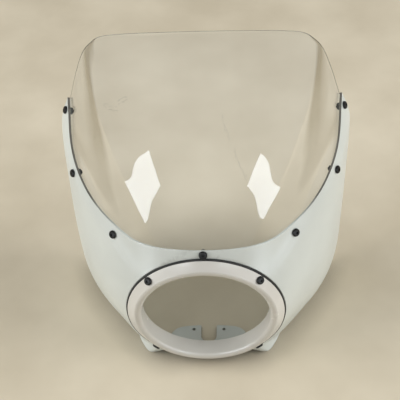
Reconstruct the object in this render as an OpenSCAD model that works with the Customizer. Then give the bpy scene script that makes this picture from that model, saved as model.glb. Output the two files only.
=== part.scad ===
// Headlight cowl with a clear screen: a moulded shell, a bent screen tucked inside its upper edge,
// a trim ring round the lamp opening with a rubber gasket, and the screws and nuts that join them.
// Frame: X to the right seen from the front, Y to the rear, Z up. The centre of the lamp opening
// is the origin, and the opening faces -Y.

/* [Shell] */
// Wall of the moulded shell
shell_wall = 3; // [2.5:0.1:3.5]
// Set-back of the rear edge beside the screws at the horns
rear_y = 198; // [190:1:206]
// Greatest half width, at the rear of the sides
side_half_w = 179; // [174:1:184]
// Height of the horn tips
horn_z = 169; // [164:1:174]
// Half width across the horn tips
horn_half_w = 166; // [164:1:169]
// Depth of the bottom edges below the lamp centre
base_drop = 96; // [96:0.5:100]
// Set-back of the chin tabs
chin_back = 48; // [44:1:54]
// Half width across the chin tabs
chin_half_w = 46; // [40:1:52]

/* [Upper edge] */
// Height of the shell's upper edge above the lamp opening
edge_mid_z = 104; // [103:0.5:105]
// How far the upper edge dips on both sides of the middle
edge_dip = 6; // [4:0.5:8]
// Set-back at which the upper edge is lowest and starts to climb
edge_low_y = 30; // [24:1:34]
// How late the upper edge climbs: 1 is a straight line
edge_bow = 1.4; // [1.3:0.05:1.8]

/* [Screen] */
// Thickness of the clear screen
screen_t = 3; // [2:0.5:4]
// Height of the screen's top edge
screen_top_z = 269; // [260:1:275]
// Set-back of the middle of the top edge
screen_top_y = 188; // [180:1:194]
// Half width of the straight part of the top edge
screen_top_half_w = 116; // [110:1:120]
// How far the screen reaches below the shell's upper edge
screen_lap = 20; // [18:1:24]

/* [Trim ring] */
// Radius of the lamp opening
opening_r = 76; // [75:0.5:77]
// Outer radius of the trim ring
ring_r = 93; // [92:0.5:93.5]
// Wall of the trim ring
ring_wall = 3; // [2.6:0.1:3.2]
// Reach of the ring's nose in front of its seat
ring_nose = 10; // [9.5:0.5:11]
// Reach of the inner wall behind its seat
ring_depth = 13; // [12:1:18]
// Radius of the rubber gasket
gasket_r = 94.5; // [94:0.5:95]
// Thickness of the rubber gasket
gasket_t = 2.5; // [2:0.1:3]

/* [Screws] */
// Thread diameter of the screws
screw_d = 5; // [4:0.5:5]
// Diameter of the screw heads
head_d = 9.8; // [9:0.1:10.5]
// Height of the screw heads
head_h = 2.8; // [2.4:0.1:3.2]
// Width across the flats of the sockets
socket_w = 3; // [2.5:0.5:3]
// Width across the flats of the nuts
nut_w = 8; // [7:0.5:8]
// Height of the screen nuts
nut_h = 4; // [3:0.5:4.5]
// Height of the low ring nuts
ring_nut_h = 3; // [2.7:0.1:3.2]
// Drop of the middle screen screw below the shell's upper edge
centre_drop = 5; // [4.5:0.5:6]
// Drop of the lower pair of screen screws below the upper edge
low_drop = 9; // [7:0.5:13]
// Drop of the middle pair of screen screws below the upper edge
mid_drop = 9; // [8:0.5:14]
// Drop of the horn pair of screen screws below the upper edge
horn_drop = 7; // [6.5:0.5:9]
// Set-back of the lower pair of screen screws
low_screw_y = 43; // [38:1:50]
// Set-back of the middle pair of screen screws
mid_screw_y = 118; // [105:1:125]
// Set-back of the horn pair of screen screws
horn_screw_y = 189; // [186:0.5:190]

/* [Fits] */
// Gap between shell and screen
screen_gap = 0.3; // [0.2:0.05:0.5]
// Gap between the ring's flange and the lip of the shell
ring_gap = 0.3; // [0.2:0.05:0.4]
// Gap under screw heads and nuts, which sit flat on a domed wall
seat_gap = 0.2; // [0.1:0.05:0.3]
// Clearance of a screw in its hole, on the diameter
hole_clear = 0.5; // [0.3:0.1:0.8]
// Clearance of a screw in its nut, on the diameter
thread_clear = 0.2; // [0.1:0.05:0.3]

/* [Chin] */
// Width of the notch between the chin tabs
notch_w = 20; // [16:1:24]
// Set-back of the closed end of the notch
notch_front = 22; // [18:1:28]
// Half the spacing of the holes in the chin tabs
tab_hole_x = 19.5; // [17:0.5:21]
// Set-back of the holes in the chin tabs
tab_hole_y = 42; // [38:0.5:43]
// Diameter of the holes in the chin tabs
tab_hole_d = 4.2; // [3:0.1:5]

/* [Hidden] */
SCREEN_NAMES = ["centre", "low_left", "low_right", "mid_left", "mid_right", "horn_left", "horn_right"];
RING_NAMES = ["lower_right", "lower_left", "upper_left", "upper_right"];
$fn = 64;

// The seat of the gasket: a flat annulus from which the shell flares to the rear edge.
seat_y = gasket_t;
seat_r = gasket_r + 0.5;

// The ring's flange and the lip inside it are cones at 45 degrees, given by radius minus set-back.
flange_in = ring_r - ring_wall * sqrt(2);
lip_out = flange_in - ring_gap * sqrt(2);
lip_in = lip_out - shell_wall * sqrt(2);
lip_front = -3.5;

// Rear edge of shell and screen from the chin up to the middle of the top edge, right half:
// x, y, z, and the angles from the radial direction at which the wall leaves the seat and ends.
rim = [
    [0, chin_back, -base_drop, 88, 90],
    [chin_half_w - 26, chin_back, -base_drop, 84, 88],
    [chin_half_w - 6, chin_back - 4, -base_drop, 74, 84],
    [chin_half_w + 4, chin_back - 17, -base_drop, 50, 68],
    [chin_half_w + 14, 15, -base_drop, 26, 50],
    [75, 10, -base_drop, 13, 32],
    [86, 25, -base_drop, 22, 48],
    [96, 45, -base_drop, 32, 57],
    [126, 82, -base_drop, 45, 58],
    [149, 120, -base_drop, 49, 65],
    [169, 160, -base_drop + 6, 50, 74],
    [177, 182, -base_drop + 40, 49, 83],
    [side_half_w, rear_y - 7, 0, 46, 83],
    [side_half_w, rear_y - 3, 66, 43, 84],
    [side_half_w, rear_y - 1, 124, 41, 82],
    [horn_half_w + 9, rear_y, horn_z - 22, 41, 78],
    [horn_half_w, rear_y, horn_z, 40, 72],
    [horn_half_w - 11, rear_y, horn_z + 34, 36, 70],
    [horn_half_w - 23, rear_y, screen_top_z - 36, 33, 68],
    [screen_top_half_w + 15, rear_y - 1, screen_top_z - 20, 31, 66],
    [screen_top_half_w, rear_y - 3, screen_top_z - 9, 30, 64],
    [screen_top_half_w - 27, rear_y - 6, screen_top_z - 4, 30, 62],
    [screen_top_half_w / 2 - 12, screen_top_y + 1, screen_top_z - 1, 31, 61],
    [0, screen_top_y, screen_top_z, 31, 60]
];
rim_n = len(rim) - 1;

// Share of the run from seat to rear edge over which the wall keeps its first and last direction.
lead = 0.42;
trail = 0.32;

// Station k of the rear edge. Beyond the symmetry plane the stations repeat mirrored.
function flip(p) = [-p[0], p[1], p[2], p[3], p[4]];
function station(k) = k < 0 ? flip(rim[-k]) : k > rim_n ? flip(rim[2 * rim_n - k]) : rim[k];

// Smooth curve through the stations at parameter u.
function rim_at(u) = let (
    i = floor(u),
    f = u - i,
    a = station(i - 1),
    b = station(i),
    c = station(i + 1),
    d = station(i + 2)
) (2 * b + (c - a) * f + (2 * a - 5 * b + 4 * c - d) * pow(f, 2)
    + (3 * b - a - 3 * c + d) * pow(f, 3)) / 2;

// Outer surface: for each u a curve in a plane through the lamp axis, from the seat to the rear edge.
function skin(u, s) = let (
    q = rim_at(u),
    r = norm([q[0], q[2]]),
    run = norm([r - seat_r, q[1] - seat_y]),
    p0 = [seat_r, seat_y],
    p1 = p0 + lead * run * [cos(q[3]), sin(q[3])],
    p3 = [r, q[1]],
    p2 = p3 - trail * run * [cos(q[4]), sin(q[4])],
    t = 1 - s,
    p = pow(t, 3) * p0 + 3 * s * pow(t, 2) * p1 + 3 * pow(s, 2) * t * p2 + pow(s, 3) * p3
) [p[0] * q[0] / r, p[1], p[0] * q[2] / r];

// Unit normal that points into the hollow of the cowl.
step_u = 0.02;
step_s = 0.004;
function inward(u, s) = let (
    s1 = max(0, s - step_s),
    s2 = min(1, s + step_s),
    n = cross(skin(u + step_u, s) - skin(u - step_u, s), skin(u, s2) - skin(u, s1))
) n / norm(n);

// Point of the surface moved inwards by d.
function under(u, s, d) = skin(u, s) + d * inward(u, s);

// Height of the shell's upper edge at set-back y, seen from the side.
function edge_z(y) = let (
    dip = edge_dip * sin(90 * min(1, max(0, y) / edge_low_y)),
    climb = pow(max(0, y - edge_low_y) / (rear_y - edge_low_y), edge_bow)
) edge_mid_z - dip + (horn_z - edge_mid_z + edge_dip) * climb;

// How far a point lies above the line that runs drop below the upper edge.
function above_edge(p, drop) = p[2] - edge_z(p[1]) + drop;

// Parameter u at which the loop s reaches that line, or the symmetry plane where it stays below.
bisections = 26;
function edge_u(s, drop, lo = 8, hi = rim_n, k = bisections) = let (mid = (lo + hi) / 2)
    k == bisections && above_edge(skin(rim_n, s), drop) <= 0 ? rim_n
    : k == 0 ? mid
    : above_edge(skin(mid, s), drop) > 0 ? edge_u(s, drop, lo, mid, k - 1)
    : edge_u(s, drop, mid, hi, k - 1);

// Parameter s at which the middle profile reaches the line.
function middle_s(drop, lo = 0, hi = 1, k = bisections) = let (mid = (lo + hi) / 2)
    k == 0 ? mid
    : above_edge(skin(rim_n, mid), drop) > 0 ? middle_s(drop, lo, mid, k - 1)
    : middle_s(drop, mid, hi, k - 1);

// Parameter s at which the line itself reaches set-back y.
function line_s(y, drop, lo = 0, hi = 1, k = bisections) = let (mid = (lo + hi) / 2)
    k == 0 ? mid
    : skin(edge_u(mid, drop), mid)[1] > y ? line_s(y, drop, lo, mid, k - 1)
    : line_s(y, drop, mid, hi, k - 1);

// Mesh of a wall: two grids of points, outer and inner, closed along their free sides.
// Columns run from -cols to cols; up to row shut the first and the last column are one.
function mirrored(p, c) = c < 0 ? [-p[0], p[1], p[2]] : p;

function wall_faces(rows, cols, shut) = let (
    w = 2 * cols + 1,
    half = rows * w
)
[
    for (k = [0 : rows - 2])
        for (c = [0 : w - 2])
            let (
                last = c == w - 2,
                a = k * w + c,
                b = last && k <= shut ? k * w : a + 1,
                d = a + w,
                e = last && k + 1 <= shut ? (k + 1) * w : d + 1
            )
            each c < cols ? [
                [a, b, d], [b, e, d],
                [half + a, half + d, half + b], [half + b, half + d, half + e]
            ]
            : [
                [a, b, e], [a, e, d],
                [half + a, half + e, half + b], [half + a, half + d, half + e]
            ],
    for (c = [0 : w - 2])
        let (
            b = c == w - 2 && shut >= 0 ? 0 : c + 1,
            top = (rows - 1) * w
        )
        each [
            [c, half + b, b], [c, half + c, half + b],
            [top + c, top + c + 1, half + top + c + 1], [top + c, half + top + c + 1, half + top + c]
        ],
    for (k = [max(0, shut) : rows - 2])
        let (a = k * w, z = k * w + w - 1)
        each [
            [a, a + w, half + a + w], [a, half + a + w, half + a],
            [shut == k ? a : z, half + z + w, z + w],
            [shut == k ? a : z, half + (shut == k ? a : z), half + z + w]
        ]
];

// Rows of the shell: the lip that carries the ring, the seat, then the flaring wall.
edge_s = middle_s(0);
edge_rows = 20;
row_bias = 1.6;
rows_s = [
    0, edge_s / 2, edge_s,
    for (k = [1 : edge_rows]) edge_s + (1 - edge_s) * pow(k / edge_rows, row_bias)
];
lip_rows = 2;
closed_row = lip_rows + 2;
shell_rows = lip_rows + len(rows_s);

// Columns of the shell: half a station apart from the chin to the sides, then an equal share each of
// the way from there to the middle or, above the closed rows, to the upper edge.
side_n = 14;
side_cols = 2 * side_n;
top_cols = 16;
shell_cols = side_cols + top_cols;
function col_u(c, end) = c < side_cols ? c / 2
    : side_n + (c - side_cols) / top_cols * (end - side_n);

// Point at radius r and set-back y, in the direction of rim parameter u.
function ring_pt(u, r, y) = let (
    q = rim_at(u),
    n = norm([q[0], q[2]])
) [r * q[0] / n, y, r * q[2] / n];

module cowl_sheet() {
    grid = [
        for (k = [0 : shell_rows - 1])
            let (s = k < lip_rows ? 0 : rows_s[k - lip_rows], end = edge_u(s, 0))
            [
                for (c = [-shell_cols : shell_cols])
                    let (u = col_u(abs(c), end))
                    k == 0 ? [
                        mirrored(ring_pt(u, lip_out + lip_front, lip_front), c),
                        mirrored(ring_pt(u, lip_in + lip_front, lip_front), c)
                    ]
                    : k == 1 ? [
                        mirrored(ring_pt(u, lip_out + seat_y, seat_y), c),
                        mirrored(ring_pt(u, lip_in + seat_y + shell_wall, seat_y + shell_wall), c)
                    ]
                    : [mirrored(skin(u, s), c), mirrored(under(u, s, shell_wall), c)]
            ]
    ];
    polyhedron(
        points = concat(
            [for (row = grid) for (p = row) p[0]],
            [for (row = grid) for (p = row) p[1]]
        ),
        faces = wall_faces(shell_rows, shell_cols, closed_row)
    );
}

// Rows of the screen, from its hidden lower edge to its top edge.
screen_cols = 22;
screen_rows = 17;
screen_top = shell_wall + screen_gap;

module screen_sheet() {
    grid = [
        for (k = [0 : screen_rows - 1])
            let (s = k / (screen_rows - 1), start = edge_u(s, screen_lap))
            [
                for (c = [-screen_cols : screen_cols])
                    let (u = rim_n - abs(c) / screen_cols * (rim_n - start))
                    [
                        mirrored(under(u, s, screen_top), -c),
                        mirrored(under(u, s, screen_top + screen_t), -c)
                    ]
            ]
    ];
    polyhedron(
        points = concat(
            [for (row = grid) for (p = row) p[0]],
            [for (row = grid) for (p = row) p[1]]
        ),
        faces = wall_faces(screen_rows, screen_cols, -1)
    );
}

// Moves children to surface point [u, s], on side -1 or 1, with +Z pointing outwards.
module on_skin(place, side) {
    p = skin(place[0], place[1]);
    n = -inward(place[0], place[1]);
    mirror([side < 0 ? 1 : 0, 0, 0])
        translate(p)
            rotate([0, acos(n[2]), atan2(n[1], n[0])])
                children();
}

// Surface places of the screen screws: the middle one, then the lower, middle and horn pairs.
function place_at(y, drop) = let (s = line_s(y, drop)) [edge_u(s, drop), s];
centre_place = [rim_n, middle_s(centre_drop)];
low_place = place_at(low_screw_y, low_drop);
mid_place = place_at(mid_screw_y, mid_drop);
horn_place = place_at(horn_screw_y, horn_drop);
screen_places = [
    [centre_place, 1],
    [low_place, -1], [low_place, 1],
    [mid_place, -1], [mid_place, 1],
    [horn_place, -1], [horn_place, 1]
];
// Screw lengths: each ends a little past its nut.
screw_end = 2;
ring_screw_end = 1.2;
screw_len = screen_top + screen_t + nut_h + screw_end;
ring_stack = ring_wall + ring_gap + shell_wall;
ring_screw_len = ring_stack + ring_nut_h + ring_screw_end;

// Moves children to ring screw k (0 to 3), with +Z along the outward normal of the flange.
ring_screw_back = 3.7;
module on_ring(k) {
    rotate([0, 45 + 90 * k, 0])
        translate([ring_r - ring_screw_back, -ring_screw_back, 0])
            rotate([90, 0, 45])
                children();
}

// Button head screw: seat at z = 0, head above it, shank below it.
head_bevel = 0.3;
head_foot = 0.4;
head_round = 2.2;
socket_depth = 1.6;
tip_bevel = 0.6;
module screw(len) {
    difference() {
        rotate_extrude()
            polygon([
                [0, -len],
                [screw_d / 2 - tip_bevel, -len],
                [screw_d / 2, tip_bevel - len],
                [screw_d / 2, 0],
                [head_d / 2 - head_bevel, 0],
                for (a = [0 : 10 : 90])
                    [
                        head_d / 2 - head_round * (1 - cos(a)),
                        head_foot + (head_h - head_foot) * sin(a)
                    ],
                [0, head_h]
            ]);
        translate([0, 0, head_h - socket_depth])
            cylinder(d = socket_w / cos(30), h = head_h, $fn = 6);
    }
}

// Hexagon nut with bevelled corners, from z = 0 up.
nut_bevel = 0.5;
module nut(h) {
    corner = nut_w / 2 / cos(30) + nut_bevel / 4;
    difference() {
        intersection() {
            cylinder(d = nut_w / cos(30), h = h, $fn = 6);
            rotate_extrude()
                polygon([
                    [0, 0], [nut_w / 2, 0], [corner, nut_bevel],
                    [corner, h - nut_bevel], [nut_w / 2, h], [0, h]
                ]);
        }
        hole(screw_d + thread_clear, h, h);
    }
}

// Cutter for a hole along Z through a wall of the given depth below z = top.
over = 5;
module hole(d, deep, top = 0) {
    translate([0, 0, top - deep - over])
        cylinder(d = d, h = deep + 2 * over);
}

module cowl_shell() {
    color([0.93, 0.93, 0.9])
        difference() {
            cowl_sheet();
            for (p = screen_places)
                on_skin(p[0], p[1])
                    hole(screw_d + hole_clear, shell_wall);
            for (k = [0 : 3])
                on_ring(k)
                    hole(screw_d + hole_clear, ring_stack);
            for (side = [-1, 1])
                translate([side * tab_hole_x, tab_hole_y, -base_drop])
                    hole(tab_hole_d, shell_wall, shell_wall);
            translate([0, notch_front + notch_w / 2, -base_drop]) {
                hole(notch_w, shell_wall, shell_wall);
                translate([-notch_w / 2, 0, -over])
                    cube([notch_w, chin_back, shell_wall + 2 * over]);
            }
        }
}

module windscreen() {
    color([0.85, 0.9, 0.95, 0.35])
        difference() {
            screen_sheet();
            for (p = screen_places)
                on_skin(p[0], p[1])
                    hole(screw_d + hole_clear, screen_top + screen_t);
        }
}

module headlight_ring() {
    color([0.93, 0.93, 0.9])
        difference() {
            rotate([90, 0, 0])
                rotate_extrude()
                    ring_section();
            for (k = [0 : 3])
                on_ring(k)
                    hole(screw_d + hole_clear, ring_wall);
        }
}

// Half section of the trim ring: radius against the distance in front of the seat. The flange rises
// at 45 degrees to the shoulder, bends over the nose and runs back as the sleeve of the opening.
shoulder = ring_nose - 2.4;
nose_h = 4.6;
nose_squeeze = 0.9;
sleeve_wall = 2.5;
sleeve_bevel = 1;
crown = 3.4;
crown_bevel = 1.6;
module ring_section() {
    nose_r = (ring_r - shoulder - opening_r) / 2 + 0.8;
    sleeve_r = opening_r + sleeve_wall;
    hollow_top = ring_nose - crown;
    polygon([
        [ring_r, 0],
        [ring_r - shoulder, shoulder],
        for (a = [45 : 15 : 180])
            [
                opening_r + nose_r + nose_r * cos(a) * (a < 90 ? nose_squeeze : 1),
                ring_nose - nose_h + nose_h * sin(a)
            ],
        [opening_r, sleeve_bevel - ring_depth],
        [opening_r + sleeve_bevel, -ring_depth],
        [sleeve_r, -ring_depth],
        [sleeve_r, hollow_top - crown_bevel],
        [sleeve_r + crown_bevel, hollow_top],
        [flange_in - hollow_top, hollow_top],
        [flange_in, 0]
    ]);
}

module ring_gasket() {
    color([0.07, 0.07, 0.07])
        rotate([-90, 0, 0])
            difference() {
                cylinder(r = gasket_r, h = gasket_t);
                hole(2 * (lip_out + seat_y + ring_gap), gasket_t, gasket_t);
            }
}

module screen_screw(i) {
    color([0.1, 0.1, 0.1])
        on_skin(screen_places[i][0], screen_places[i][1])
            translate([0, 0, seat_gap])
                screw(screw_len);
}

module screen_nut(i) {
    color([0.3, 0.3, 0.32])
        on_skin(screen_places[i][0], screen_places[i][1])
            translate([0, 0, -screen_top - screen_t - seat_gap - nut_h])
                nut(nut_h);
}

module ring_screw(k) {
    color([0.1, 0.1, 0.1])
        on_ring(k)
            translate([0, 0, seat_gap])
                screw(ring_screw_len);
}

module ring_nut(k) {
    color([0.3, 0.3, 0.32])
        on_ring(k)
            translate([0, 0, -ring_stack - seat_gap - ring_nut_h])
                nut(ring_nut_h);
}

cowl_shell();
windscreen();
headlight_ring();
ring_gasket();
for (i = [0 : len(SCREEN_NAMES) - 1])
    screen_screw(i);
for (i = [0 : len(SCREEN_NAMES) - 1])
    screen_nut(i);
for (k = [0 : len(RING_NAMES) - 1])
    ring_screw(k);
for (k = [0 : len(RING_NAMES) - 1])
    ring_nut(k);
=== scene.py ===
# %% [markdown]
# # A white headlight cowl with a clear screen
# The cowl is a moulded plastic shell with a round opening for the lamp. A trim ring frames the
# opening, and a clear bubble screen is screwed into the shell's curved upper edge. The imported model
# gives each piece its place. This script gives each piece its finished shape and surface, then adds
# the floor, the lamps and the camera.

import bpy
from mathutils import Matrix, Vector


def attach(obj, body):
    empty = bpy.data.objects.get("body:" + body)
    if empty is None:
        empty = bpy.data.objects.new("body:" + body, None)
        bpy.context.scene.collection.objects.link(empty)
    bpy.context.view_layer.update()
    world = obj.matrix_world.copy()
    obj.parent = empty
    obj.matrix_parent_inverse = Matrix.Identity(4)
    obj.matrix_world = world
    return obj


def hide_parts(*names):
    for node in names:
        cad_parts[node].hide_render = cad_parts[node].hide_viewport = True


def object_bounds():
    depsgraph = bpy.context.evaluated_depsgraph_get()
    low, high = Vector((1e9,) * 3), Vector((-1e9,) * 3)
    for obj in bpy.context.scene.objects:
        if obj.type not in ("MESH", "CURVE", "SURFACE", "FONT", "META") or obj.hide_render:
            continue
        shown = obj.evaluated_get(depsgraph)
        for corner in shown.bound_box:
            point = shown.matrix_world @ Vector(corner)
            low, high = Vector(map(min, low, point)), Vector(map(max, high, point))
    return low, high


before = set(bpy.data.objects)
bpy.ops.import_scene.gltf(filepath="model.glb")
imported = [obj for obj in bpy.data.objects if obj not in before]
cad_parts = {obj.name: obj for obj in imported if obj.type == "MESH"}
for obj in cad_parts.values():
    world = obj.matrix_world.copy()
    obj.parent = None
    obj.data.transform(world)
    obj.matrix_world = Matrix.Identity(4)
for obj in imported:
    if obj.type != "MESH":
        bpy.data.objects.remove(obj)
cad_box = [list(corner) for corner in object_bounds()]
print("nodes:", len(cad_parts))

# %% Working units
import math

import bmesh
import bpy
from mathutils import Matrix, Quaternion, Vector

MM = 0.001
scene = bpy.context.scene
floor_z = cad_box[0][2]
print("the object stands at z =", round(floor_z / MM, 1), "mm")

# %% [markdown]
# ## The surface that shell and screen share
# On the real cowl one dome runs from the gasket's seat out to the rear edge, and the screen lies
# against its inside. A dome like this could be sculpted, but screws and edges have to land on it
# exactly, so it is a formula instead. A smooth curve runs through a few stations along the rear edge.
# From each point of that curve a cubic curve runs forward to the seat, in a plane through the axis of
# the lamp. Lengths here are millimetres.

# %% Stations of the rear edge
opening_r = 76
ring_r = 93
ring_wall = 3
gasket_r = 94.5
gasket_t = 2.5
seat_margin = 0.5
seat_r = gasket_r + seat_margin
seat_y = gasket_t

# x, y, z, and the angles from the radial direction at which the wall leaves the seat and ends.
RIM = [
    (0, 48, -96, 88, 90), (20, 48, -96, 84, 88), (40, 44, -96, 74, 84), (50, 31, -96, 50, 68),
    (60, 15, -96, 26, 50), (75, 10, -96, 13, 32), (86, 25, -96, 22, 48), (96, 45, -96, 32, 57),
    (126, 82, -96, 45, 58), (149, 120, -96, 49, 65), (169, 160, -90, 50, 74), (177, 182, -56, 49, 83),
    (179, 191, 0, 46, 83), (179, 195, 66, 43, 84), (179, 197, 124, 41, 82), (175, 198, 147, 41, 78),
    (166, 198, 169, 40, 72), (155, 198, 203, 36, 70), (143, 198, 233, 33, 68), (131, 197, 249, 31, 66),
    (116, 195, 260, 30, 64), (89, 192, 265, 30, 62), (46, 189, 268, 31, 61), (0, 188, 269, 31, 60),
]
LAST = len(RIM) - 1

# How far the two handles of each cubic reach, as shares of its straight run.
LEAD = 0.42
TRAIL = 0.32
print("stations on one side:", len(RIM))


# %% Rear edge and dome
nudge_u = 0.02
nudge_s = 0.004


def station(k):
    """Station k. Past the symmetry plane the stations repeat mirrored."""
    if 0 <= k <= LAST:
        return RIM[k]
    x, *rest = RIM[-k if k < 0 else 2 * LAST - k]
    return (-x, *rest)


def rim_at(u):
    """The smooth curve through the stations at parameter u."""
    i = math.floor(u)
    f = u - i
    weights = (
        (-f + 2 * f**2 - f**3) / 2,
        (2 - 5 * f**2 + 3 * f**3) / 2,
        (f + 4 * f**2 - 3 * f**3) / 2,
        (f**3 - f**2) / 2,
    )
    near = [station(i + step) for step in (-1, 0, 1, 2)]
    return [sum(w * p[axis] for w, p in zip(weights, near)) for axis in range(5)]


def skin(u, s):
    """Point of the outer dome: s runs from the seat at 0 to the rear edge at 1."""
    x, y, z, leave, end = rim_at(u)
    r = math.hypot(x, z)
    run = math.hypot(r - seat_r, y - seat_y)
    leave, end = math.radians(leave), math.radians(end)
    p0 = Vector((seat_r, seat_y))
    p3 = Vector((r, y))
    p1 = p0 + LEAD * run * Vector((math.cos(leave), math.sin(leave)))
    p2 = p3 - TRAIL * run * Vector((math.cos(end), math.sin(end)))
    t = 1 - s
    p = t**3 * p0 + 3 * s * t**2 * p1 + 3 * s**2 * t * p2 + s**3 * p3
    return Vector((p.x * x / r, p.y, p.x * z / r))


def inward(u, s):
    """Unit normal of the dome, pointing into the cowl."""
    along = skin(u + nudge_u, s) - skin(u - nudge_u, s)
    across = skin(u, min(1, s + nudge_s)) - skin(u, max(0, s - nudge_s))
    return along.cross(across).normalized()


def under(u, s, depth):
    """Point at a depth under the dome."""
    return skin(u, s) + depth * inward(u, s)


print("top of the dome:", [round(c, 1) for c in skin(LAST, 1)])

# %% [markdown]
# ## The swept upper edge
# The shell stops at a line that dips on both sides of the middle and then sweeps up to the two horns.
# Seen from the side it is a height for each set-back y. Where the line cuts the dome has no closed
# formula, so a halving search finds it.

# %% Upper edge
rear_y = 198
horn_z = 169
edge_mid_z = 104
edge_dip = 6
edge_low_y = 30
edge_bow = 1.4
edge_from_u = 8
halvings = 26


def edge_z(y):
    """Height of the shell's upper edge at set-back y."""
    dip = edge_dip * math.sin(math.pi / 2 * min(1, max(0, y) / edge_low_y))
    climb = (max(0, y - edge_low_y) / (rear_y - edge_low_y)) ** edge_bow
    return edge_mid_z - dip + (horn_z - edge_mid_z + edge_dip) * climb


def halve(low, high, is_high):
    """The value between low and high at which is_high turns true."""
    for _ in range(halvings):
        middle = (low + high) / 2
        if is_high(middle):
            high = middle
        else:
            low = middle
    return (low + high) / 2


def above(u, s, drop):
    """Whether a point of the dome lies above the line that runs drop below the upper edge."""
    p = skin(u, s)
    return p.z > edge_z(p.y) - drop


def edge_u(s, drop):
    """Parameter u at which the loop s of the dome meets that line."""
    if not above(LAST, s, drop):
        return LAST
    return halve(edge_from_u, LAST, lambda u: above(u, s, drop))


def place_at(y, drop):
    """Place on the dome, as (u, s), of the line's point at set-back y."""
    s = halve(0, 1, lambda v: skin(edge_u(v, drop), v).y > y)
    return edge_u(s, drop), s


edge_s = halve(0, 1, lambda s: above(LAST, s, 0))
print("the edge crosses the middle at z =", round(skin(LAST, edge_s).z, 1))

# %% [markdown]
# ## From a flat grid to a wall
# A moulded wall is a sheet of even thickness. A flat grid has the right layout of faces, so each of
# its points is sent to its place on the dome. Then Solidify gives the sheet its thickness and Bevel
# breaks the cut edges, as a file does on a real edge. Both are applied, so that the holes can be cut
# into the finished wall by one Boolean.

# %% Helpers for meshes
weld = 1e-6
edge_steps = 3
edge_angle = 60
front = Vector((0, -1, 0))


def new_object(name, bm):
    """An object in the scene that holds the bmesh."""
    mesh = bpy.data.meshes.new(name)
    bm.to_mesh(mesh)
    bm.free()
    obj = bpy.data.objects.new(name, mesh)
    scene.collection.objects.link(obj)
    return obj


def applied(obj):
    """Replaces the object's mesh by the one its modifiers make."""
    bpy.context.view_layer.update()
    seen = obj.evaluated_get(bpy.context.evaluated_depsgraph_get())
    made = bpy.data.meshes.new_from_object(seen)
    obj.modifiers.clear()
    obj.data = made
    return obj


def soften(obj, angle=32):
    """Smooth shading, kept crisp where faces meet at more than the angle."""
    bm = bmesh.new()
    bm.from_mesh(obj.data)
    for face in bm.faces:
        face.smooth = True
    for edge in bm.edges:
        edge.smooth = len(edge.link_faces) == 2 and edge.calc_face_angle() < math.radians(angle)
    bm.to_mesh(obj.data)
    bm.free()
    return obj


def bent_grid(rows, half_cols, place):
    """A flat grid, bent by sending the point in row k and column c to place(k, c)."""
    bm = bmesh.new()
    bmesh.ops.create_grid(bm, x_segments=2 * half_cols, y_segments=rows, size=1)
    for vert in bm.verts:
        c = round(vert.co.x * half_cols)
        k = round((vert.co.y + 1) / 2 * rows)
        p = place(k, abs(c))
        vert.co = Vector((p.x if c >= 0 else -p.x, p.y, p.z)) * MM
    bmesh.ops.remove_doubles(bm, verts=bm.verts, dist=weld)
    return bm


def walled(name, bm, thickness, edge_round):
    """A closed wall from a sheet, whose foremost face is made to look to the front."""
    bm.faces.ensure_lookup_table()
    bmesh.ops.recalc_face_normals(bm, faces=bm.faces)
    face = max(bm.faces, key=lambda f: f.calc_center_median().dot(front))
    if face.normal.dot(front) < 0:
        bmesh.ops.reverse_faces(bm, faces=bm.faces)
    obj = new_object(name, bm)
    solid = obj.modifiers.new("wall", "SOLIDIFY")
    solid.thickness = thickness * MM
    solid.offset = -1
    solid.use_even_offset = True
    solid.use_quality_normals = True
    bevel = obj.modifiers.new("edges", "BEVEL")
    bevel.width = edge_round * MM
    bevel.segments = edge_steps
    bevel.limit_method = "ANGLE"
    bevel.angle_limit = math.radians(edge_angle)
    applied(obj)
    print(name, "has", len(obj.data.polygons), "faces")
    return obj


# %% [markdown]
# ## Turned pieces and cutters
# Screws, nuts, the ring and the gasket are all turned shapes, so one helper spins a half section. It
# spins about Z, and a matrix then stands the result at its place. Each half section is a list of
# radius and height. Bores and sockets are cut with plain cylinders and prisms.


# %% Helpers for turned pieces
def turned(profile, steps=64):
    """A half section of (radius, height) in mm, spun about Z. One off the axis makes a ring."""
    bm = bmesh.new()
    verts = [bm.verts.new((r * MM, 0, h * MM)) for r, h in profile]
    pairs = list(zip(verts, verts[1:]))
    if profile[0][0] > 0:
        pairs.append((verts[-1], verts[0]))
    edges = [bm.edges.new(pair) for pair in pairs]
    bmesh.ops.spin(
        bm, geom=verts + edges, cent=(0, 0, 0), axis=(0, 0, 1),
        angle=2 * math.pi, steps=steps, use_merge=True,
    )
    bmesh.ops.remove_doubles(bm, verts=bm.verts, dist=weld)
    bmesh.ops.recalc_face_normals(bm, faces=bm.faces)
    return bm


def arc(centre_r, centre_h, radius_r, radius_h, start, end, count):
    """Points of an elliptic arc in a half section, angles in degrees from the radial direction."""
    angles = [math.radians(start + (end - start) * i / count) for i in range(count + 1)]
    return [(centre_r + radius_r * math.cos(a), centre_h + radius_h * math.sin(a)) for a in angles]


def facing(direction, at=(0, 0, 0)):
    """Matrix that turns +Z to the direction and moves the origin to a point in mm."""
    turn = Vector((0, 0, 1)).rotation_difference(Vector(direction)).to_matrix().to_4x4()
    return Matrix.Translation(Vector(at) * MM) @ turn


def prism(bm, diameter, low, high, matrix, sides=48):
    """Adds a prism along Z from low to high, placed by the matrix."""
    radius = diameter / 2 * MM
    middle = Matrix.Translation((0, 0, (low + high) / 2 * MM))
    bmesh.ops.create_cone(
        bm, cap_ends=True, segments=sides, radius1=radius, radius2=radius,
        depth=(high - low) * MM, matrix=matrix @ middle,
    )


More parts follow.
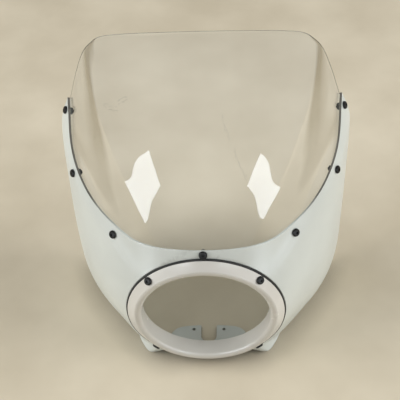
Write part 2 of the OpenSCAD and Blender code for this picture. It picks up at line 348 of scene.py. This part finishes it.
def carve(obj, cutter_bm, operation="DIFFERENCE"):
    """Cuts the cutter out of the object, or keeps only what both share."""
    cutter = new_object("cutter", cutter_bm)
    cut = obj.modifiers.new("cut", "BOOLEAN")
    cut.operation = operation
    cut.solver = "EXACT"
    cut.object = cutter
    applied(obj)
    bpy.data.objects.remove(cutter)
    return obj


# %% [markdown]
# ## Where the screws go
# Seven screws join screen and shell a little below the upper edge: one in the middle and three pairs.
# Four more hold the trim ring, on the slope of its flange, at 45 degrees between the axes.

# %% Screw places
screw_d = 5
head_d = 9.8
head_h = 2.8
hole_play = 0.5
hole_d = screw_d + hole_play
seat_gap = 0.2
shell_wall = 3
screen_gap = 0.3
screen_t = 3
screen_lap = 20
screen_depth = shell_wall + screen_gap
ring_gap = 0.3
ring_stack = ring_wall + ring_gap + shell_wall
ring_screw_back = 3.7

# Each pair: name, set-back, drop below the upper edge.
SCREW_PAIRS = [("low", 43, 9), ("mid", 118, 9), ("horn", 189, 7)]
middle_drop = 5
middle_s = halve(0, 1, lambda s: above(LAST, s, middle_drop))
screen_places = {"centre": (skin(LAST, middle_s), -inward(LAST, middle_s))}
for label, back, drop in SCREW_PAIRS:
    u, s = place_at(back, drop)
    spot, out = skin(u, s), -inward(u, s)
    screen_places[label + "_right"] = (spot, out)
    screen_places[label + "_left"] = [Vector((-way.x, way.y, way.z)) for way in (spot, out)]

ring_places = {}
for k, label in enumerate(["lower_right", "lower_left", "upper_left", "upper_right"]):
    turn = Matrix.Rotation(math.radians(45 + 90 * k), 3, "Y")
    spot = turn @ Vector((ring_r - ring_screw_back, -ring_screw_back, 0))
    ring_places[label] = (spot, turn @ Vector((1, -1, 0)).normalized())
print("screws:", len(screen_places), "in the screen,", len(ring_places), "in the ring")

# %% [markdown]
# ## The shell
# The shell starts as a cone-shaped lip inside the trim ring, has a flat seat for the gasket and then
# flares back to the rear edge. Rows of the grid run round the opening. Rows near the opening close
# above it. Rows further out end at the upper edge, so their last columns share out what is left of the
# way. The chin has a notch and two small holes, which bracket screws use on the real one.

# %% Moulded shell
lip_out = ring_r - ring_wall * math.sqrt(2) - ring_gap * math.sqrt(2)
lip_front = -3.5
shell_round = 0.5
side_n = 14
per_station = 5
side_cols = side_n * per_station
top_cols = 46
wall_rows = 60
row_bias = 1.6
closed_rows = [0, edge_s / 3, edge_s * 2 / 3, edge_s]
row_s = closed_rows + [
    edge_s + (1 - edge_s) * (k / wall_rows) ** row_bias for k in range(1, wall_rows + 1)
]
row_end = [edge_u(s, 0) if s > edge_s else LAST for s in row_s]
lip_rows = 4


def on_lip(u, k):
    """Point of the lip, whose radius grows with the set-back."""
    x, _, z, _, _ = rim_at(u)
    y = lip_front + (seat_y - lip_front) * k / (lip_rows - 1)
    return Vector((x, 0, z)).normalized() * (lip_out + y) + Vector((0, y, 0))


def shell_place(k, c):
    """Point of the shell's outer face in row k and column c."""
    wall_k = max(0, k - lip_rows)
    end = row_end[wall_k]
    u = c / per_station if c < side_cols else side_n + (c - side_cols) / top_cols * (end - side_n)
    return on_lip(u, k) if k < lip_rows else skin(u, row_s[wall_k])


sheet = bent_grid(lip_rows + len(row_s) - 1, side_cols + top_cols, shell_place)
shell = walled("moulded_shell", sheet, shell_wall, shell_round)

# %% [markdown]
# The holes are cut a little wider than the screws. The notch has a round front and straight sides: the
# rear half of a round cutter is squared and drawn back past the shell's edge.

# %% Holes and chin notch
notch_w = 20
notch_front = 22
notch_run = 40
notch_middle = notch_front + notch_w / 2
past_middle = 0.1
tab_hole_x = 19.5
tab_hole_y = 42
tab_hole_d = 4.2
over = 5
base = floor_z / MM


def add_holes(bm, places, depth):
    """Adds a round cutter at each screw, through what lies down to a depth under its seat."""
    for spot, out in places.values():
        prism(bm, hole_d, -depth - over, over, facing(out, spot))


cutters = bmesh.new()
add_holes(cutters, screen_places, shell_wall)
add_holes(cutters, ring_places, ring_stack)
for side in (-1, 1):
    at = Matrix.Translation(Vector((side * tab_hole_x, tab_hole_y, base)) * MM)
    prism(cutters, tab_hole_d, -over, shell_wall + over, at)
carve(shell, cutters)

notch = bmesh.new()
at = Matrix.Translation(Vector((0, notch_middle, base)) * MM)
prism(notch, notch_w, -over, shell_wall + over, at)
for vert in notch.verts:
    if vert.co.y > (notch_middle + past_middle) * MM:
        vert.co.x = math.copysign(notch_w / 2 * MM, vert.co.x)
        vert.co.y += notch_run * MM
carve(shell, notch)
soften(shell)
print("shell faces:", len(shell.data.polygons))

# %% [markdown]
# Painted shade: the cut edge where it meets the screen is darkened as the shadow in the seam between
# the two, more and more towards the horns. Each face that looks up there gets a value that grows from 0
# to 1, and the shell's finish reads it.

# %% Painted seam shade
seam_shade_from_y = 38
seam_shade_full_y = 85
seam_shade_reach = 3.2
seam_shade_tilt = 0.55

# painted shade: a face value that darkens the cut edge as the shadow in the seam with the screen
seam_shade_layer = shell.data.attributes.new("seam_shade", "FLOAT", "FACE")
for face, value in zip(shell.data.polygons, seam_shade_layer.data):
    spot = face.center / MM
    near_edge = edge_z(spot.y) - spot.z < seam_shade_reach
    growth = (spot.y - seam_shade_from_y) / (seam_shade_full_y - seam_shade_from_y)
    if near_edge and face.normal.z > seam_shade_tilt:
        value.value = min(1, max(0, growth))
print("dusty faces:", sum(value.value > 0 for value in seam_shade_layer.data))

# %% [markdown]
# ## The screen
# The screen is bent from clear sheet, tucked inside the shell and seen through from both sides. It has
# to be a closed wall of true thickness, because glass is drawn from where light enters and leaves it.

# %% Bubble screen
screen_rows = 60
screen_cols = 56
screen_round = 0.6
screen_start = [edge_u(k / screen_rows, screen_lap) for k in range(screen_rows + 1)]


def screen_place(k, c):
    """Point of the screen's outer face in row k and column c, counted from the middle."""
    u = LAST - c / screen_cols * (LAST - screen_start[k])
    return under(u, k / screen_rows, screen_depth)


sheet = bent_grid(screen_rows, screen_cols, screen_place)
screen = walled("bubble_screen", sheet, screen_t, screen_round)
cutters = bmesh.new()
add_holes(cutters, screen_places, screen_depth + screen_t)
carve(screen, cutters)
soften(screen)

# %% [markdown]
# ## The trim ring and its gasket
# The ring is one moulding: a sloping flange with the screws, a rounded nose, and a sleeve that runs
# back round the lamp. Its half section is spun about the axis of the lamp. The rubber gasket under it
# shows as a thin black line all round.

# %% Trim ring
ring_nose = 10
ring_depth = 13
ring_steps = 160
crisp_angle = 28
shoulder = ring_nose - 2.4
nose_h = 4.6
nose_spare = 0.8
nose_slope = 0.9
sleeve_wall = 2.5
sleeve_r = opening_r + sleeve_wall
sleeve_break = 0.3
hollow_top = ring_nose - 3.4
hollow_break = 1.6
lip_round = 0.5
mouth_round = 1
flange_in = ring_r - ring_wall * math.sqrt(2)
nose_r = (ring_r - shoulder - opening_r) / 2 + nose_spare
crown_r = opening_r + nose_r
nose = arc(crown_r, ring_nose - nose_h, nose_r * nose_slope, nose_h, 45, 85, 8)
nose += arc(crown_r, ring_nose - nose_h, nose_r, nose_h, 90, 180, 18)
lip = arc(ring_r - lip_round, lip_round, lip_round, lip_round, -90, 45, 5)
tail = arc(opening_r + mouth_round, mouth_round - ring_depth, mouth_round, mouth_round, 180, 270, 5)
sleeve = [
    (sleeve_r - sleeve_break, -ring_depth), (sleeve_r, -ring_depth + sleeve_break),
    (sleeve_r, hollow_top - hollow_break), (sleeve_r + hollow_break, hollow_top),
    (flange_in - hollow_top, hollow_top), (flange_in, 0),
]
half_section = lip + [(ring_r - shoulder, shoulder)] + nose + tail + sleeve
to_front = facing(front)
bm = turned(half_section, steps=ring_steps)
bmesh.ops.transform(bm, matrix=to_front, verts=bm.verts)
ring = new_object("trim_ring", bm)
cutters = bmesh.new()
add_holes(cutters, ring_places, ring_wall)
carve(ring, cutters)
soften(ring, crisp_angle)
print("ring faces:", len(ring.data.polygons))

# %% Rubber gasket
gasket_in = lip_out + seat_y + ring_gap
gasket_bulge = 0.5
squeeze = 0.05
edge = arc(gasket_r - gasket_bulge, -gasket_t / 2, gasket_bulge, gasket_t / 2 - squeeze, -90, 90, 10)
bm = turned([(gasket_in, -squeeze), (gasket_in, squeeze - gasket_t)] + edge, steps=ring_steps)
bmesh.ops.transform(bm, matrix=to_front, verts=bm.verts)
gasket = soften(new_object("rubber_gasket", bm))
print("gasket faces:", len(gasket.data.polygons))

# %% [markdown]
# ## Screws and nuts
# The screws are button heads with a hexagon socket. One half section gives head, shank and thread. The
# thread is a stack of small ridges: at this pitch nobody can tell it from a helix. The nuts are
# hexagons with turned corners, so they are what a hexagon prism and a bevelled disc share.

# %% Screw and nut makers
pitch = 0.8
ridge = 0.35
tip_break = 0.6
plain_shank = 1.2
neck = 0.3
brim_in = 0.3
brim_h = 0.4
dome_r = 2.2
screw_steps = 40
socket_w = 3
socket_depth = 1.6
nut_w = 8
nut_bevel = 0.5
nut_play = 0.2
nut_angle = 20
past_face = 1
past_corner = 0.1

# A hexagon's width across its flats, as a share of its width across its corners.
flat_share = math.cos(math.pi / 6)


def screw_mesh(length):
    """A button head screw of that length, seated at z = 0."""
    profile = [(0, -length), (screw_d / 2 - tip_break, -length)]
    height = tip_break - length
    while height < -plain_shank:
        profile += [(screw_d / 2, height), (screw_d / 2 - ridge, height + pitch / 2)]
        height += pitch
    profile += [(screw_d / 2, -neck), (screw_d / 2, 0), (head_d / 2 - brim_in, 0)]
    profile += arc(head_d / 2 - dome_r, brim_h, dome_r, head_h - brim_h, 0, 90, 10) + [(0, head_h)]
    obj = new_object("screw", turned(profile, steps=screw_steps))
    socket = bmesh.new()
    bottom, top = head_h - socket_depth, head_h + past_face
    prism(socket, socket_w / flat_share, bottom, top, Matrix.Identity(4), sides=6)
    return soften(carve(obj, socket), crisp_angle)


def nut_mesh(height):
    """A hexagon nut from z = 0 up, with its bore."""
    corner = nut_w / 2 / flat_share
    bm = bmesh.new()
    prism(bm, 2 * corner, 0, height, Matrix.Identity(4), sides=6)
    obj = new_object("nut", bm)
    wide = corner + past_corner
    disc = [
        (0, 0), (nut_w / 2, 0), (wide, nut_bevel),
        (wide, height - nut_bevel), (nut_w / 2, height), (0, height),
    ]
    carve(obj, turned(disc), "INTERSECT")
    bore = bmesh.new()
    prism(bore, screw_d + nut_play, -past_face, height + past_face, Matrix.Identity(4), sides=32)
    return soften(carve(obj, bore), nut_angle)


def placed_copy(master, name, matrix):
    """A copy of a master mesh, with its place in its mesh."""
    mesh = master.data.copy()
    mesh.transform(matrix)
    obj = bpy.data.objects.new(name, mesh)
    scene.collection.objects.link(obj)
    return obj


# %% Place screws and nuts
# Each kind: name, places, thickness of what it holds, height of the nut, length past the nut.
KINDS = [
    ("screen", screen_places, screen_depth + screen_t, 4, 2),
    ("ring", ring_places, ring_stack, 3, 1.2),
]
lift = Matrix.Translation((0, 0, seat_gap * MM))
fasteners = {}
for kind, places, stack, nut_h, past_nut in KINDS:
    screw_master = screw_mesh(stack + nut_h + past_nut)
    nut_master = nut_mesh(nut_h)
    below = Matrix.Translation((0, 0, -(stack + seat_gap + nut_h) * MM))
    for label, (spot, out) in places.items():
        stand = facing(out, spot)
        place = kind + "_" + label
        screw = placed_copy(screw_master, "button_screw_" + place, stand @ lift)
        nut = placed_copy(nut_master, "hex_nut_" + place, stand @ below)
        fasteners[kind + "_screw_" + label] = screw
        fasteners[kind + "_nut_" + label] = nut
    bpy.data.objects.remove(screw_master)
    bpy.data.objects.remove(nut_master)
print("fasteners:", len(fasteners))

# %% [markdown]
# ## Finishes
# Each finish is a small node tree. Colours are written as sRGB hex, the way a colour picker shows
# them, and turned to the linear values that the shader works in. Pattern sizes are real lengths: a
# noise with a scale of one over its size in metres has blobs of that size.


# %% Helpers for materials
def linear(hex_colour):
    """sRGB hex to a linear colour with alpha 1."""
    channels = [int(hex_colour[i : i + 2], 16) / 255 for i in (0, 2, 4)]
    return [c / 12.92 if c <= 0.04045 else ((c + 0.055) / 1.055) ** 2.4 for c in channels] + [1]


def add_node(tree, kind, inputs=None, **settings):
    """Adds a node with its settings. An input is a value, or the socket that feeds it."""
    node = tree.nodes.new(kind)
    for key, value in settings.items():
        setattr(node, key, value)
    for key, value in (inputs or {}).items():
        if isinstance(value, bpy.types.NodeSocket):
            tree.links.new(value, node.inputs[key])
        else:
            node.inputs[key].default_value = value
    return node


def new_material(name):
    """An empty material and its tree."""
    material = bpy.data.materials.new(name)
    material.use_nodes = True
    material.node_tree.nodes.clear()
    return material, material.node_tree


def place_in(tree):
    """The place of each point in its object, in metres."""
    return add_node(tree, "ShaderNodeTexCoord").outputs["Object"]


def show(tree, surface):
    """Makes a surface the one that the material shows."""
    add_node(tree, "ShaderNodeOutputMaterial", {"Surface": surface})


def noise(tree, where, size, detail, output="Fac"):
    """Noise with blobs of a size in millimetres, on places in metres."""
    inputs = {"Vector": where, "Scale": 1 / (size * MM), "Detail": detail}
    return add_node(tree, "ShaderNodeTexNoise", inputs).outputs[output]


def ranged(tree, value, low=0, high=1, at_low=0, at_high=1):
    """Maps low and high to two new values. What lies outside keeps to the nearer one."""
    inputs = {"Value": value, "From Min": low, "From Max": high, "To Min": at_low, "To Max": at_high}
    return add_node(tree, "ShaderNodeMapRange", inputs).outputs["Result"]


def value_math(tree, operation, first, second):
    """The result of an operation on two values, such as MULTIPLY or MAXIMUM."""
    return add_node(tree, "ShaderNodeMath", {0: first, 1: second}, operation=operation).outputs["Value"]


def vector_math(tree, operation, first, second, output="Vector"):
    """The result of an operation on two vectors: a vector or a value."""
    node = add_node(tree, "ShaderNodeVectorMath", {0: first, 1: second}, operation=operation)
    return node.outputs[output]


def mixed_colour(tree, factor, first, second):
    """A colour between two others: the first at a factor of 0."""
    inputs = {"Factor": factor, "A": first, "B": second}
    return add_node(tree, "ShaderNodeMix", inputs, data_type="RGBA").outputs["Result"]


def mixed_surface(tree, factor, first, second):
    """A surface between two others: the first at a factor of 0."""
    return add_node(tree, "ShaderNodeMixShader", {"Fac": factor, 1: first, 2: second}).outputs["Shader"]


def principled(tree, colour, roughness, more):
    """The all-round surface, with a dictionary of its further inputs."""
    inputs = {"Base Color": colour, "Roughness": roughness, **more}
    return add_node(tree, "ShaderNodeBsdfPrincipled", inputs).outputs["BSDF"]


def bumped(tree, height, strength, distance):
    """Small unevenness, as the direction that the surface seems to look in."""
    inputs = {"Height": height, "Strength": strength, "Distance": distance * MM}
    return add_node(tree, "ShaderNodeBump", inputs).outputs["Normal"]


def blotch(tree, where, size, detail, low, high, dark, light):
    """A colour that drifts between two others in blobs of a size in millimetres."""
    share = ranged(tree, noise(tree, where, size, detail), low, high)
    return mixed_colour(tree, share, linear(dark), linear(light))


# %% [markdown]
# Both big pieces carry a few faint marks where the photo shows them. A mark is the set of points near
# a segment, seen from the front, so only X and Z count. Noise makes it wander and breaks it up.

# %% Marks
mark_wander = 6
wander_size = 7
gap_size = 4
gap_low = 0.4
gap_high = 0.55
X_AND_Z = Vector((1, 0, 1))

# Start and end as (x, z), half width and strength.
SCREEN_SCRATCHES = [
    ((-109, 210.5), (-94, 213), 0.9, 0.12),
    ((-92, 217), (-82, 221), 0.8, 0.12),
    ((23, 210), (31.5, 192), 0.7, 0.1),
    ((35, 185), (49, 161), 0.8, 0.1),
]
SHELL_SMUDGES = [
    ((-45, 84), (-12, 104), 5, 0.22),
    ((12, 92), (22, 104), 3.5, 0.25),
]


def line_mark(tree, where, start, end, half_width, strength):
    """Strength on a segment from start to end, fading to 0 at half its width."""
    a, b = (Vector((x, 0, z)) * MM for x, z in (start, end))
    reach = b - a
    wander = noise(tree, where, wander_size, 3, "Color")
    shift = vector_math(tree, "MULTIPLY", wander, (mark_wander * MM,) * 3)
    flat = vector_math(tree, "MULTIPLY", vector_math(tree, "ADD", where, shift), X_AND_Z)
    offset = vector_math(tree, "SUBTRACT", flat, a + X_AND_Z * mark_wander / 2 * MM)
    along = vector_math(tree, "DOT_PRODUCT", offset, reach / reach.length_squared, "Value")
    foot = vector_math(tree, "MULTIPLY", ranged(tree, along), reach)
    gap = vector_math(tree, "DISTANCE", offset, foot, "Value")
    near = ranged(tree, gap, 0, half_width * MM, 1, 0)
    kept = ranged(tree, noise(tree, where, gap_size, 2), gap_low, gap_high, 0, strength)
    return value_math(tree, "MULTIPLY", near, kept)


def all_marks(tree, where, marks):
    """The strongest of several marks."""
    value = line_mark(tree, where, *marks[0])
    for mark in marks[1:]:
        value = value_math(tree, "MAXIMUM", value, line_mark(tree, where, *mark))
    return value


print("marks:", len(SCREEN_SCRATCHES), "on the screen,", len(SHELL_SMUDGES), "on the shell")

# %% [markdown]
# ### White ABS
# The shell and the ring are injection moulded ABS, glossy but not mirror-like. The mould leaves a very
# fine orange peel, a hundredth or two of a millimetre high, and the white is a touch cool and uneven.
# Marks and the painted shade of the seam are mixed into the colour, so that the gloss stays even.

# %% Moulded ABS
abs_index = 1.53
smudge_grey = "8E8F8B"
# grey of the painted shade in the seam between the shell's edge and the screen
seam_shade_grey = "64615B"
peel_size = 1.6
peel_strength = 0.05
peel_height = 0.3
wear_size = 25
polish = 0.02
wear = 0.03


def moulded_abs(name, dark, light, roughness, marks=()):
    """Glossy moulded plastic with orange peel and a slightly uneven white."""
    material, tree = new_material(name)
    where = place_in(tree)
    colour = blotch(tree, where, 60, 3, 0.35, 0.65, dark, light)
    if marks:
        colour = mixed_colour(tree, all_marks(tree, where, marks), colour, linear(smudge_grey))
    # painted shade: darkens the shell's cut edge where it meets the screen
    seam_shade = add_node(tree, "ShaderNodeAttribute", attribute_name="seam_shade").outputs["Fac"]
    colour = mixed_colour(tree, seam_shade, colour, linear(seam_shade_grey))
    peel = bumped(tree, noise(tree, where, peel_size, 2), peel_strength, peel_height)
    gloss = ranged(tree, noise(tree, where, wear_size, 4), 0, 1, roughness - polish, roughness + wear)
    show(tree, principled(tree, colour, gloss, {"IOR": abs_index, "Normal": peel}))
    return material


white_shell = moulded_abs("white_abs_shell", "C8CDC9", "CED3CF", 0.3, SHELL_SMUDGES)
white_ring = moulded_abs("white_abs_ring", "CCCAC4", "D1CFC9", 0.26)
print("white finishes:", white_shell.name, white_ring.name)

# %% [markdown]
# ### Clear acrylic
# Acrylic has an index of 1.49 and almost no colour. A ray tracer blocks the lamp's direct light at
# glass, which would give the screen a heavy shadow that the real one doesn't cast. So shadow rays see
# a clear film instead. The real screen has a darker band on each flank, where the sheet slants away
# from the eye and likely mirrors something dark. The studio here is pale, so a smoke tint draws that
# band: it follows the slant, and fades lower down. Old scratches scatter light, and a chalky surface
# that is mixed in along them does the same.

# %% Clear acrylic
acrylic_index = 1.49
haze_size = 18
haze_low = 0.4
haze_rough = 0.004
band_from = 0.38
band_inside = 0.44
band_outside = 0.52
band_to = 0.64
band_low_z = 110
band_full_z = 225
band_least = 0.15


def acrylic(tree, colour, roughness):
    """A see-through plastic."""
    inputs = {"IOR": acrylic_index, "Transmission Weight": 1}
    return principled(tree, linear(colour), roughness, inputs)


clear_acrylic, tree = new_material("clear_acrylic")
where = place_in(tree)
haze = ranged(tree, noise(tree, where, haze_size, 5), haze_low, 1, 0, haze_rough)
slant = add_node(tree, "ShaderNodeLayerWeight", {"Blend": 0.5}).outputs["Facing"]
inner_side = ranged(tree, slant, band_from, band_inside)
outer_side = ranged(tree, slant, band_to, band_outside)
height = add_node(tree, "ShaderNodeSeparateXYZ", {"Vector": where}).outputs["Z"]
upper_part = ranged(tree, height, band_low_z * MM, band_full_z * MM, band_least)
slanted = value_math(tree, "MULTIPLY", inner_side, outer_side)
band = value_math(tree, "MULTIPLY", slanted, upper_part)
body = mixed_surface(tree, band, acrylic(tree, "F8FAFC", haze), acrylic(tree, "ACA596", 0))
chalk = add_node(tree, "ShaderNodeBsdfDiffuse", {"Color": linear("A39E92")}).outputs["BSDF"]
scratched = mixed_surface(tree, all_marks(tree, where, SCREEN_SCRATCHES), body, chalk)
film = add_node(tree, "ShaderNodeBsdfTransparent", {"Color": linear("FAFAF8")}).outputs["BSDF"]
shadow_ray = add_node(tree, "ShaderNodeLightPath").outputs["Is Shadow Ray"]
show(tree, mixed_surface(tree, shadow_ray, scratched, film))
print("nodes of the clear acrylic:", len(tree.nodes))

# %% [markdown]
# ### Rubber and metal
# The gasket is black EPDM rubber, matt and a little dusty. The screws are steel with a black oxide
# coat, which mirrors little, and the nuts are darkened steel. Their scratches are too fine to show, so
# both only get a drifting gloss.

# %% Black rubber
rubber_index = 1.52
rubber_rough = 0.65
grain_size = 0.8
grain_strength = 0.3
grain_height = 0.2

black_rubber, tree = new_material("black_epdm_rubber")
where = place_in(tree)
colour = blotch(tree, where, 8, 4, 0.45, 0.8, "121212", "2A2926")
grain = bumped(tree, noise(tree, where, grain_size, 2), grain_strength, grain_height)
show(tree, principled(tree, colour, rubber_rough, {"IOR": rubber_index, "Normal": grain}))
print("nodes of the rubber:", len(tree.nodes))

# %% Coated steel
coat_specular = 0.3
rub_size = 1.2
gloss_drift = 0.08


def coated_steel(name, dark, light, metallic, roughness):
    """Steel with a thin coat, slightly uneven in gloss."""
    material, tree = new_material(name)
    where = place_in(tree)
    colour = blotch(tree, where, 2.5, 3, 0.4, 0.7, dark, light)
    rub = noise(tree, where, rub_size, 3)
    gloss = ranged(tree, rub, 0, 1, roughness - gloss_drift, roughness + gloss_drift)
    inputs = {"Metallic": metallic, "Specular IOR Level": coat_specular}
    show(tree, principled(tree, colour, gloss, inputs))
    return material


black_oxide = coated_steel("black_oxide_steel", "080808", "121213", 0, 0.5)
dark_nut = coated_steel("darkened_nut_steel", "1C1C1E", "2E2E30", 0.5, 0.42)
print("steel finishes:", black_oxide.name, dark_nut.name)

# %% [markdown]
# ## Dress the nodes
# Each finished piece gets its finish and rides on the root body, and the node whose place it takes is
# hidden. The plain nodes get a finish too, in case one is ever shown.

# %% Dress
def give(obj, material):
    """Makes the material the object's only one."""
    obj.data.materials.clear()
    obj.data.materials.append(material)


def dress(obj, node, material):
    """Gives a piece its material and puts it in the place of a node."""
    give(obj, material)
    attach(obj, "root")
    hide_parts(node)


dress(shell, "cowl_shell", white_shell)
dress(screen, "windscreen", clear_acrylic)
dress(ring, "headlight_ring", white_ring)
dress(gasket, "ring_gasket", black_rubber)
for node, obj in fasteners.items():
    if "_screw_" in node:
        dress(obj, node, black_oxide)
    else:
        dress(obj, node, dark_nut)

plain_finish = {"cowl_shell": white_shell, "headlight_ring": white_ring}
for node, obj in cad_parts.items():
    give(obj, plain_finish.get(node, black_oxide))
print("dressed pieces:", 4 + len(fasteners))

# %% [markdown]
# ## Floor
# A plain beige floor, wide enough to fill the view from every side. Its colour drifts a little, as a
# painted or papered floor does. The large soft lamps leave hardly any shade close under the cowl, where
# the real floor is dark, so the colour darkens wherever something stands just above it.

# %% Floor
floor_reach = 6
floor_rough = 0.85
shade_reach = 0.04
shade_samples = 8
shade_low = 0.1
shade_high = 0.9
shade_least = 0.35

bm = bmesh.new()
bmesh.ops.create_grid(bm, x_segments=1, y_segments=1, size=floor_reach)
bmesh.ops.translate(bm, verts=bm.verts, vec=(0, 0, floor_z))
floor = new_object("floor", bm)
beige_floor, tree = new_material("beige_floor")
paint = blotch(tree, place_in(tree), 160, 4, 0.3, 0.7, "CFC4AD", "E1D7C1")
open_sky = add_node(
    tree, "ShaderNodeAmbientOcclusion", {"Color": paint, "Distance": shade_reach}, samples=shade_samples
)
light_share = ranged(tree, open_sky.outputs["AO"], shade_low, shade_high, shade_least)
shaded = mixed_colour(tree, light_share, linear("3A342A"), paint)
show(tree, principled(tree, shaded, floor_rough, {}))
give(floor, beige_floor)
print("floor:", 2 * floor_reach, "m wide")

# %% [markdown]
# ## Lamps
# Two large soft boxes, low on the left and the right, give the light. Two glowing cards lean in
# between them and only show as reflections: the two bright diamonds on the screen. The screen bends
# what it mirrors, so each card is bowed the other way, and its reflection comes out straight. A pale
# world fills the shadows. Boxes and cards stay out of the picture.

# %% Lamps
box_size = 2.4
box_power = 114
box_aim = (0, 0.08, 0.08)
card_steps = 16
card_strength = 10.8
card_tint = (0.86, 0.93, 1, 1)


def looking(at, aim, roll=0):
    """The turn of a lamp, card or camera that looks from one point to another."""
    turn = (Vector(aim) - Vector(at)).to_track_quat("-Z", "Y")
    return turn @ Quaternion((0, 0, 1), math.radians(roll))


def soft_box(name, at):
    """A square lamp that looks at the cowl and shows in no mirror."""
    data = bpy.data.lights.new(name, "AREA")
    data.shape = "RECTANGLE"
    data.size = data.size_y = box_size
    data.energy = box_power
    lamp = bpy.data.objects.new(name, data)
    lamp.location = at
    lamp.rotation_mode = "QUATERNION"
    lamp.rotation_quaternion = looking(at, box_aim)
    lamp.visible_camera = False
    lamp.visible_transmission = False
    lamp.visible_glossy = False
    scene.collection.objects.link(lamp)


def bowed_card(name, at, aim, roll, corners, bow):
    """A glowing card between four corners in metres, with both long sides bowed to the right."""
    left_top, right_top, right_low, left_low = (Vector((x, y, 0)) for x, y in corners)
    bm = bmesh.new()
    bmesh.ops.create_grid(bm, x_segments=1, y_segments=card_steps, size=1)
    for vert in bm.verts:
        across, up = (vert.co.x + 1) / 2, (vert.co.y + 1) / 2
        spot = left_low.lerp(right_low, across).lerp(left_top.lerp(right_top, across), up)
        spot.x += bow * (1 - vert.co.y**2)
        vert.co = spot
    stand = Matrix.Translation(at) @ looking(at, aim, roll).to_matrix().to_4x4()
    bmesh.ops.transform(bm, matrix=stand, verts=bm.verts)
    card = new_object(name, bm)
    material, tree = new_material(name + "_glow")
    glow = add_node(tree, "ShaderNodeEmission", {"Color": card_tint, "Strength": card_strength})
    show(tree, glow.outputs["Emission"])
    give(card, material)
    card.visible_camera = False
    card.visible_diffuse = False
    card.visible_transmission = False
    card.visible_shadow = False


bowed_card(
    "left_card", (-0.78, -0.72, 0.52), (1.6, 0.08, -1.48), -21.4,
    ((-0.17, 0.61), (0.18, 0.55), (0.21, -0.53), (-0.21, -0.66)), 0.085,
)
bowed_card(
    "right_card", (0.79, -0.74, 0.46), (-1.52, 0.08, -1.8), 20,
    ((-0.17, 0.6), (0.15, 0.63), (0.18, -0.73), (-0.19, -0.5)), -0.08,
)
soft_box("left_key", (-3.4, -0.4, 1.6))
soft_box("right_key", (3.4, -0.4, 1.6))
print("lamps:", len(bpy.data.lights), "boxes and two cards")

# %% [markdown]
# ## World
# The background that the camera and the reflections see is a pale paper. What lights the shadows is a
# dimmer fill, so that brightness and backdrop can be set apart.

# %% World
fill_strength = 0.36
paper_strength = 1

world = bpy.data.worlds.new("studio")
scene.world = world
world.use_nodes = True
tree = world.node_tree
tree.nodes.clear()
fill = add_node(tree, "ShaderNodeBackground", {"Color": linear("E6E4DF"), "Strength": fill_strength})
paper = add_node(
    tree, "ShaderNodeBackground", {"Color": linear("D5D3CB"), "Strength": paper_strength}
)
ray = add_node(tree, "ShaderNodeLightPath").outputs
mirrored = value_math(tree, "MAXIMUM", ray["Is Glossy Ray"], ray["Is Transmission Ray"])
pale = value_math(tree, "MAXIMUM", mirrored, ray["Is Camera Ray"])
seen = mixed_surface(tree, pale, fill.outputs["Background"], paper.outputs["Background"])
add_node(tree, "ShaderNodeOutputWorld", {"Surface": seen})
print("world:", world.name)

# %% [markdown]
# ## Camera
# The camera looks down at 53 degrees from just right of the middle, a metre away, and is rolled a
# little. A lens of about 75 mm gives the flat perspective of a product photograph.

# %% Camera
camera_elevation = 53.0
camera_side = 3.6
camera_distance = 1.0
camera_aim = Vector((-5.76, 100, 87.64)) * MM
camera_roll = -3.265
sensor_width = 36
lens = 75.24

data = bpy.data.cameras.new("camera")
data.sensor_width = sensor_width
data.lens = lens
camera = bpy.data.objects.new("camera", data)
scene.collection.objects.link(camera)
up, side = math.radians(camera_elevation), math.radians(camera_side)
camera.location = camera_distance * Vector(
    (math.sin(side) * math.cos(up), -math.cos(side) * math.cos(up), math.sin(up))
)
camera.rotation_mode = "QUATERNION"
camera.rotation_quaternion = looking(camera.location, camera_aim, camera_roll)
scene.camera = camera
scene.view_settings.view_transform = "Standard"
print("camera at", [round(c, 3) for c in camera.location])
